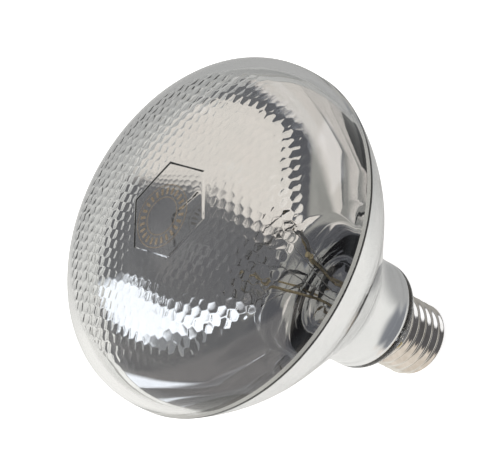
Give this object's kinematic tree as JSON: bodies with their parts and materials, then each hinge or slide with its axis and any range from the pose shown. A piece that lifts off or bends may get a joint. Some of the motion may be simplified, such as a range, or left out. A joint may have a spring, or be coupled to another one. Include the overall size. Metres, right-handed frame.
{
  "type": "infrared heat lamp",
  "caption": "Infrared reflector lamp: clear stippled glass front, mirrored glass bowl and neck, filament on posts, E27 screw cap. Sealed, with no moving parts.",
  "frame": {"origin": "centre of the cap's centre contact, on its lowest face", "axes": "+Z along the lamp's axis from the cap to the lens; the inside hexagon has a corner towards -Y"},
  "size_m": [0.121, 0.121, 0.1328],
  "materials": {
    "lens_glass": "clear, stippled inside",
    "bowl_glass": "clear, polished outside",
    "mirror_film": "vapour-deposited aluminium",
    "inner_glass": "clear, flame-polished",
    "ferrule_metal": "oxidised nickel-iron",
    "post_nickel": "heat-tinted nickel wire",
    "molybdenum": "drawn wire",
    "tungsten": "coiled wire",
    "lead_copper": "drawn copper-clad wire",
    "sleeve_ceramic": "matt",
    "cement": "rough baked cement",
    "shell_nickel": "bright nickel plate",
    "black_glass": "opaque black glass",
    "contact_brass": "bright stamped brass",
    "solder": "solder with flux stain",
    "print_ink": "thin fired ink"
  },
  "bodies": {
    "root": {"front_lens": "lens_glass", "reflector_bowl": "bowl_glass", "aluminium_mirror": "mirror_film", "exhaust_tube": "inner_glass", "ferrule_centre": "ferrule_metal", "ferrule_side": "ferrule_metal", "lead_post_centre": "post_nickel", "lead_post_side": "post_nickel", "glass_bridge": "inner_glass", "support_hook_1": "molybdenum", "support_hook_2": "molybdenum", "support_hook_3": "molybdenum", "filament": "tungsten", "outer_lead_centre": "lead_copper", "outer_lead_side": "lead_copper", "fuse_sleeve": "sleeve_ceramic", "basing_cement": "cement", "screw_shell": "shell_nickel", "cap_insulator": "black_glass", "contact_plate": "contact_brass", "centre_solder": "solder", "side_solder": "solder"}
  },
  "joints": []
}
